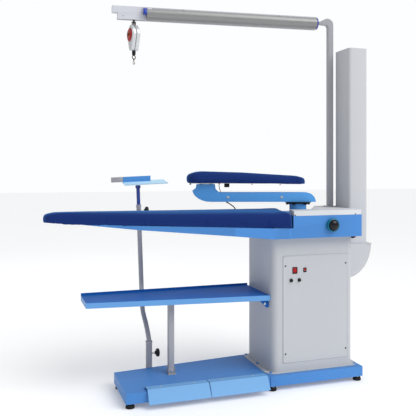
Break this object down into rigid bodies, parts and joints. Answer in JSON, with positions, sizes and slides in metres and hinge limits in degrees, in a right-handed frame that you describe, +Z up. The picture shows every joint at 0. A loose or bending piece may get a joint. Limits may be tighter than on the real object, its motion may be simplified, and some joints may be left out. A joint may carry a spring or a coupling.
{
  "type": "vacuum ironing table with sleeve board",
  "caption": "Industrial vacuum ironing table with a swing-arm sleeve board, exhaust stack, laundry shelf, foot pedals, iron rest and overhead rail with lamp and iron balancer.",
  "frame": {"origin": "middle of the footprint on the floor, under the feet", "axes": "+X from the nose of the padded board towards the cabinet and exhaust stack, +Y away from the operator, +Z up"},
  "size_m": [1.749, 0.5443, 1.977],
  "materials": {
    "frame_blue": "semi-gloss powder coat",
    "pedal_blue": "semi-gloss powder coat",
    "cover_cloth": "woven polyester board cover",
    "shelf_blue": "semi-gloss powder coat",
    "cabinet_grey": "fine-textured powder coat",
    "stack_grey": "fine-textured powder coat",
    "post_grey": "silver-grey paint",
    "cover_white": "off-white powder coat",
    "rod_blue": "gloss blue paint",
    "tray_blue": "gloss paint",
    "lamp_silver": "satin anodised",
    "balancer_silver": "silver hammer paint",
    "hook_bronze": "dark bronze plated",
    "steel": "zinc plated",
    "black_plastic": "moulded",
    "red_plastic": "moulded",
    "rubber": "moulded",
    "lead_black": "sheathed lead",
    "teal_ring": "moulded",
    "lamp_cap_blue": "moulded"
  },
  "bodies": {
    "frame": {"footboard": "frame_blue", "cabinet_plinth": "frame_blue", "table_body": "frame_blue", "arm_pedestal": "frame_blue", "board_pad": "cover_cloth", "shelf": "shelf_blue", "shelf_bracket": "shelf_blue", "cabinet_shell": "cabinet_grey", "door_panel": "cabinet_grey", "blower_housing": "cabinet_grey", "suction_duct": "cabinet_grey", "blower_deck": "cabinet_grey", "exhaust_elbow": "stack_grey", "exhaust_stack": "stack_grey", "shelf_post": "post_grey", "stand_socket": "post_grey", "gantry_post": "post_grey", "light_rail": "post_grey", "top_cover": "cover_white", "motor": "rod_blue", "lamp_cover": "lamp_silver", "pedal_rod": "steel", "vacuum_grid": "steel", "arm_pin": "steel", "vacuum_switch": "black_plastic", "blow_switch": "black_plastic", "main_switch_frame": "black_plastic", "heater_switch_frame": "black_plastic", "foot_1": "rubber", "foot_2": "rubber", "foot_3": "rubber", "foot_4": "rubber", "foot_5": "rubber", "foot_6": "rubber", "heater_lead": "lead_black"},
    "vacuum_pedal": {"vacuum_pedal": "pedal_blue"},
    "blow_pedal": {"blow_pedal": "pedal_blue"},
    "main_rocker": {"main_rocker": "red_plastic"},
    "heater_rocker": {"heater_rocker": "red_plastic"},
    "fuse_cap_left": {"fuse_cap_left": "black_plastic"},
    "fuse_cap_right": {"fuse_cap_right": "black_plastic"},
    "fan_rotor": {"impeller": "steel"},
    "regulator_knob": {"regulator_knob": "black_plastic"},
    "arm": {"sleeve_arm": "frame_blue"},
    "sleeve_board": {"sleeve_spindle": "steel", "sleeve_frame": "steel", "sleeve_pad": "cover_cloth"},
    "stand": {"stand_tube": "post_grey"},
    "lower_knob": {"lower_knob": "black_plastic"},
    "upper_knob": {"upper_knob": "black_plastic"},
    "iron_rest": {"rest_rod": "rod_blue", "iron_tray": "tray_blue", "tray_bar": "post_grey"},
    "trolley": {"trolley": "black_plastic"},
    "balancer": {"shackle": "hook_bronze", "balancer_body": "balancer_silver", "balancer_cable": "steel"},
    "tension_disc": {"tension_disc": "red_plastic"},
    "hook": {"cable_stop": "rubber", "hook": "hook_bronze"}
  },
  "joints": [
    {"name": "vacuum_pedal_press", "type": "hinge", "parent": "frame", "child": "vacuum_pedal", "pos_m": [-0.267, -0.1902, 0.0816], "axis": [1, 0, 0], "range_deg": [0, 5], "stiffness_Nm_per_rad": 20, "springref_deg": -5.73},
    {"name": "blow_pedal_press", "type": "hinge", "parent": "frame", "child": "blow_pedal", "pos_m": [0.0405, -0.1902, 0.0816], "axis": [1, 0, 0], "range_deg": [0, 5], "stiffness_Nm_per_rad": 20, "springref_deg": -5.73},
    {"name": "main_rocker_tip", "type": "hinge", "parent": "frame", "child": "main_rocker", "pos_m": [0.3665, -0.1819, 0.596], "axis": [1, 0, 0], "range_deg": [0, 14]},
    {"name": "heater_rocker_tip", "type": "hinge", "parent": "frame", "child": "heater_rocker", "pos_m": [0.4235, -0.1819, 0.596], "axis": [1, 0, 0], "range_deg": [0, 14]},
    {"name": "fuse_cap_left_turn", "type": "hinge", "parent": "frame", "child": "fuse_cap_left", "pos_m": [0.3455, -0.1884, 0.5455], "axis": [0, -1, 0], "range_deg": [0, 90]},
    {"name": "fuse_cap_right_turn", "type": "hinge", "parent": "frame", "child": "fuse_cap_right", "pos_m": [0.3915, -0.1884, 0.5455], "axis": [0, -1, 0], "range_deg": [0, 90]},
    {"name": "fan_spin", "type": "hinge", "parent": "frame", "child": "fan_rotor", "pos_m": [0.4805, -0.0162, 0.6], "axis": [0, 0, 1], "continuous": true},
    {"name": "regulator_turn", "type": "hinge", "parent": "frame", "child": "regulator_knob", "pos_m": [0.5565, -0.2337, 0.828], "axis": [0, -1, 0], "range_deg": [0, 270]},
    {"name": "arm_swivel", "type": "hinge", "parent": "frame", "child": "arm", "pos_m": [0.4455, -0.0662, 0.95], "axis": [0, 0, 1], "range_deg": [-90, 30]},
    {"name": "sleeve_swivel", "type": "hinge", "parent": "arm", "child": "sleeve_board", "pos_m": [-0.0216, 0.0914, 1.037], "axis": [0, 0, 1], "range_deg": [-90, 90]},
    {"name": "stand_swivel", "type": "hinge", "parent": "frame", "child": "stand", "pos_m": [-0.3275, 0.1278, 0.12], "axis": [0, 0, 1], "range_deg": [-25, 50]},
    {"name": "rest_height", "type": "slide", "parent": "stand", "child": "iron_rest", "axis": [-0.0355, 0, 0.9994], "range_m": [-0.08, 0.15]},
    {"name": "lower_knob_turn", "type": "hinge", "parent": "frame", "child": "lower_knob", "pos_m": [-0.3107, 0.1278, 0.146], "axis": [1, 0, 0], "range_deg": [0, 360]},
    {"name": "upper_knob_turn", "type": "hinge", "parent": "stand", "child": "upper_knob", "pos_m": [-0.348, 0.2218, 0.893], "axis": [1, 0, 0], "range_deg": [0, 360]},
    {"name": "trolley_slide", "type": "slide", "parent": "frame", "child": "trolley", "axis": [-0.9942, 0.1076, 0], "range_m": [-0.9, 0.05]},
    {"name": "balancer_swing", "type": "hinge", "parent": "trolley", "child": "balancer", "pos_m": [-0.39952, 0.17178, 1.894], "axis": [-0.9942, 0.1076, 0], "range_deg": [-30, 30]},
    {"name": "tension_disc_turn", "type": "hinge", "parent": "balancer", "child": "tension_disc", "pos_m": [-0.39952, 0.17178, 1.829], "axis": [-0.9853, -0.1706, 0], "range_deg": [0, 90]},
    {"name": "hook_pull", "type": "slide", "parent": "balancer", "child": "hook", "axis": [0, 0, -1], "range_m": [0, 0.6], "stiffness_N_per_m": 15, "springref_m": -0.6, "deforming": ["balancer_cable"]}
  ]
}
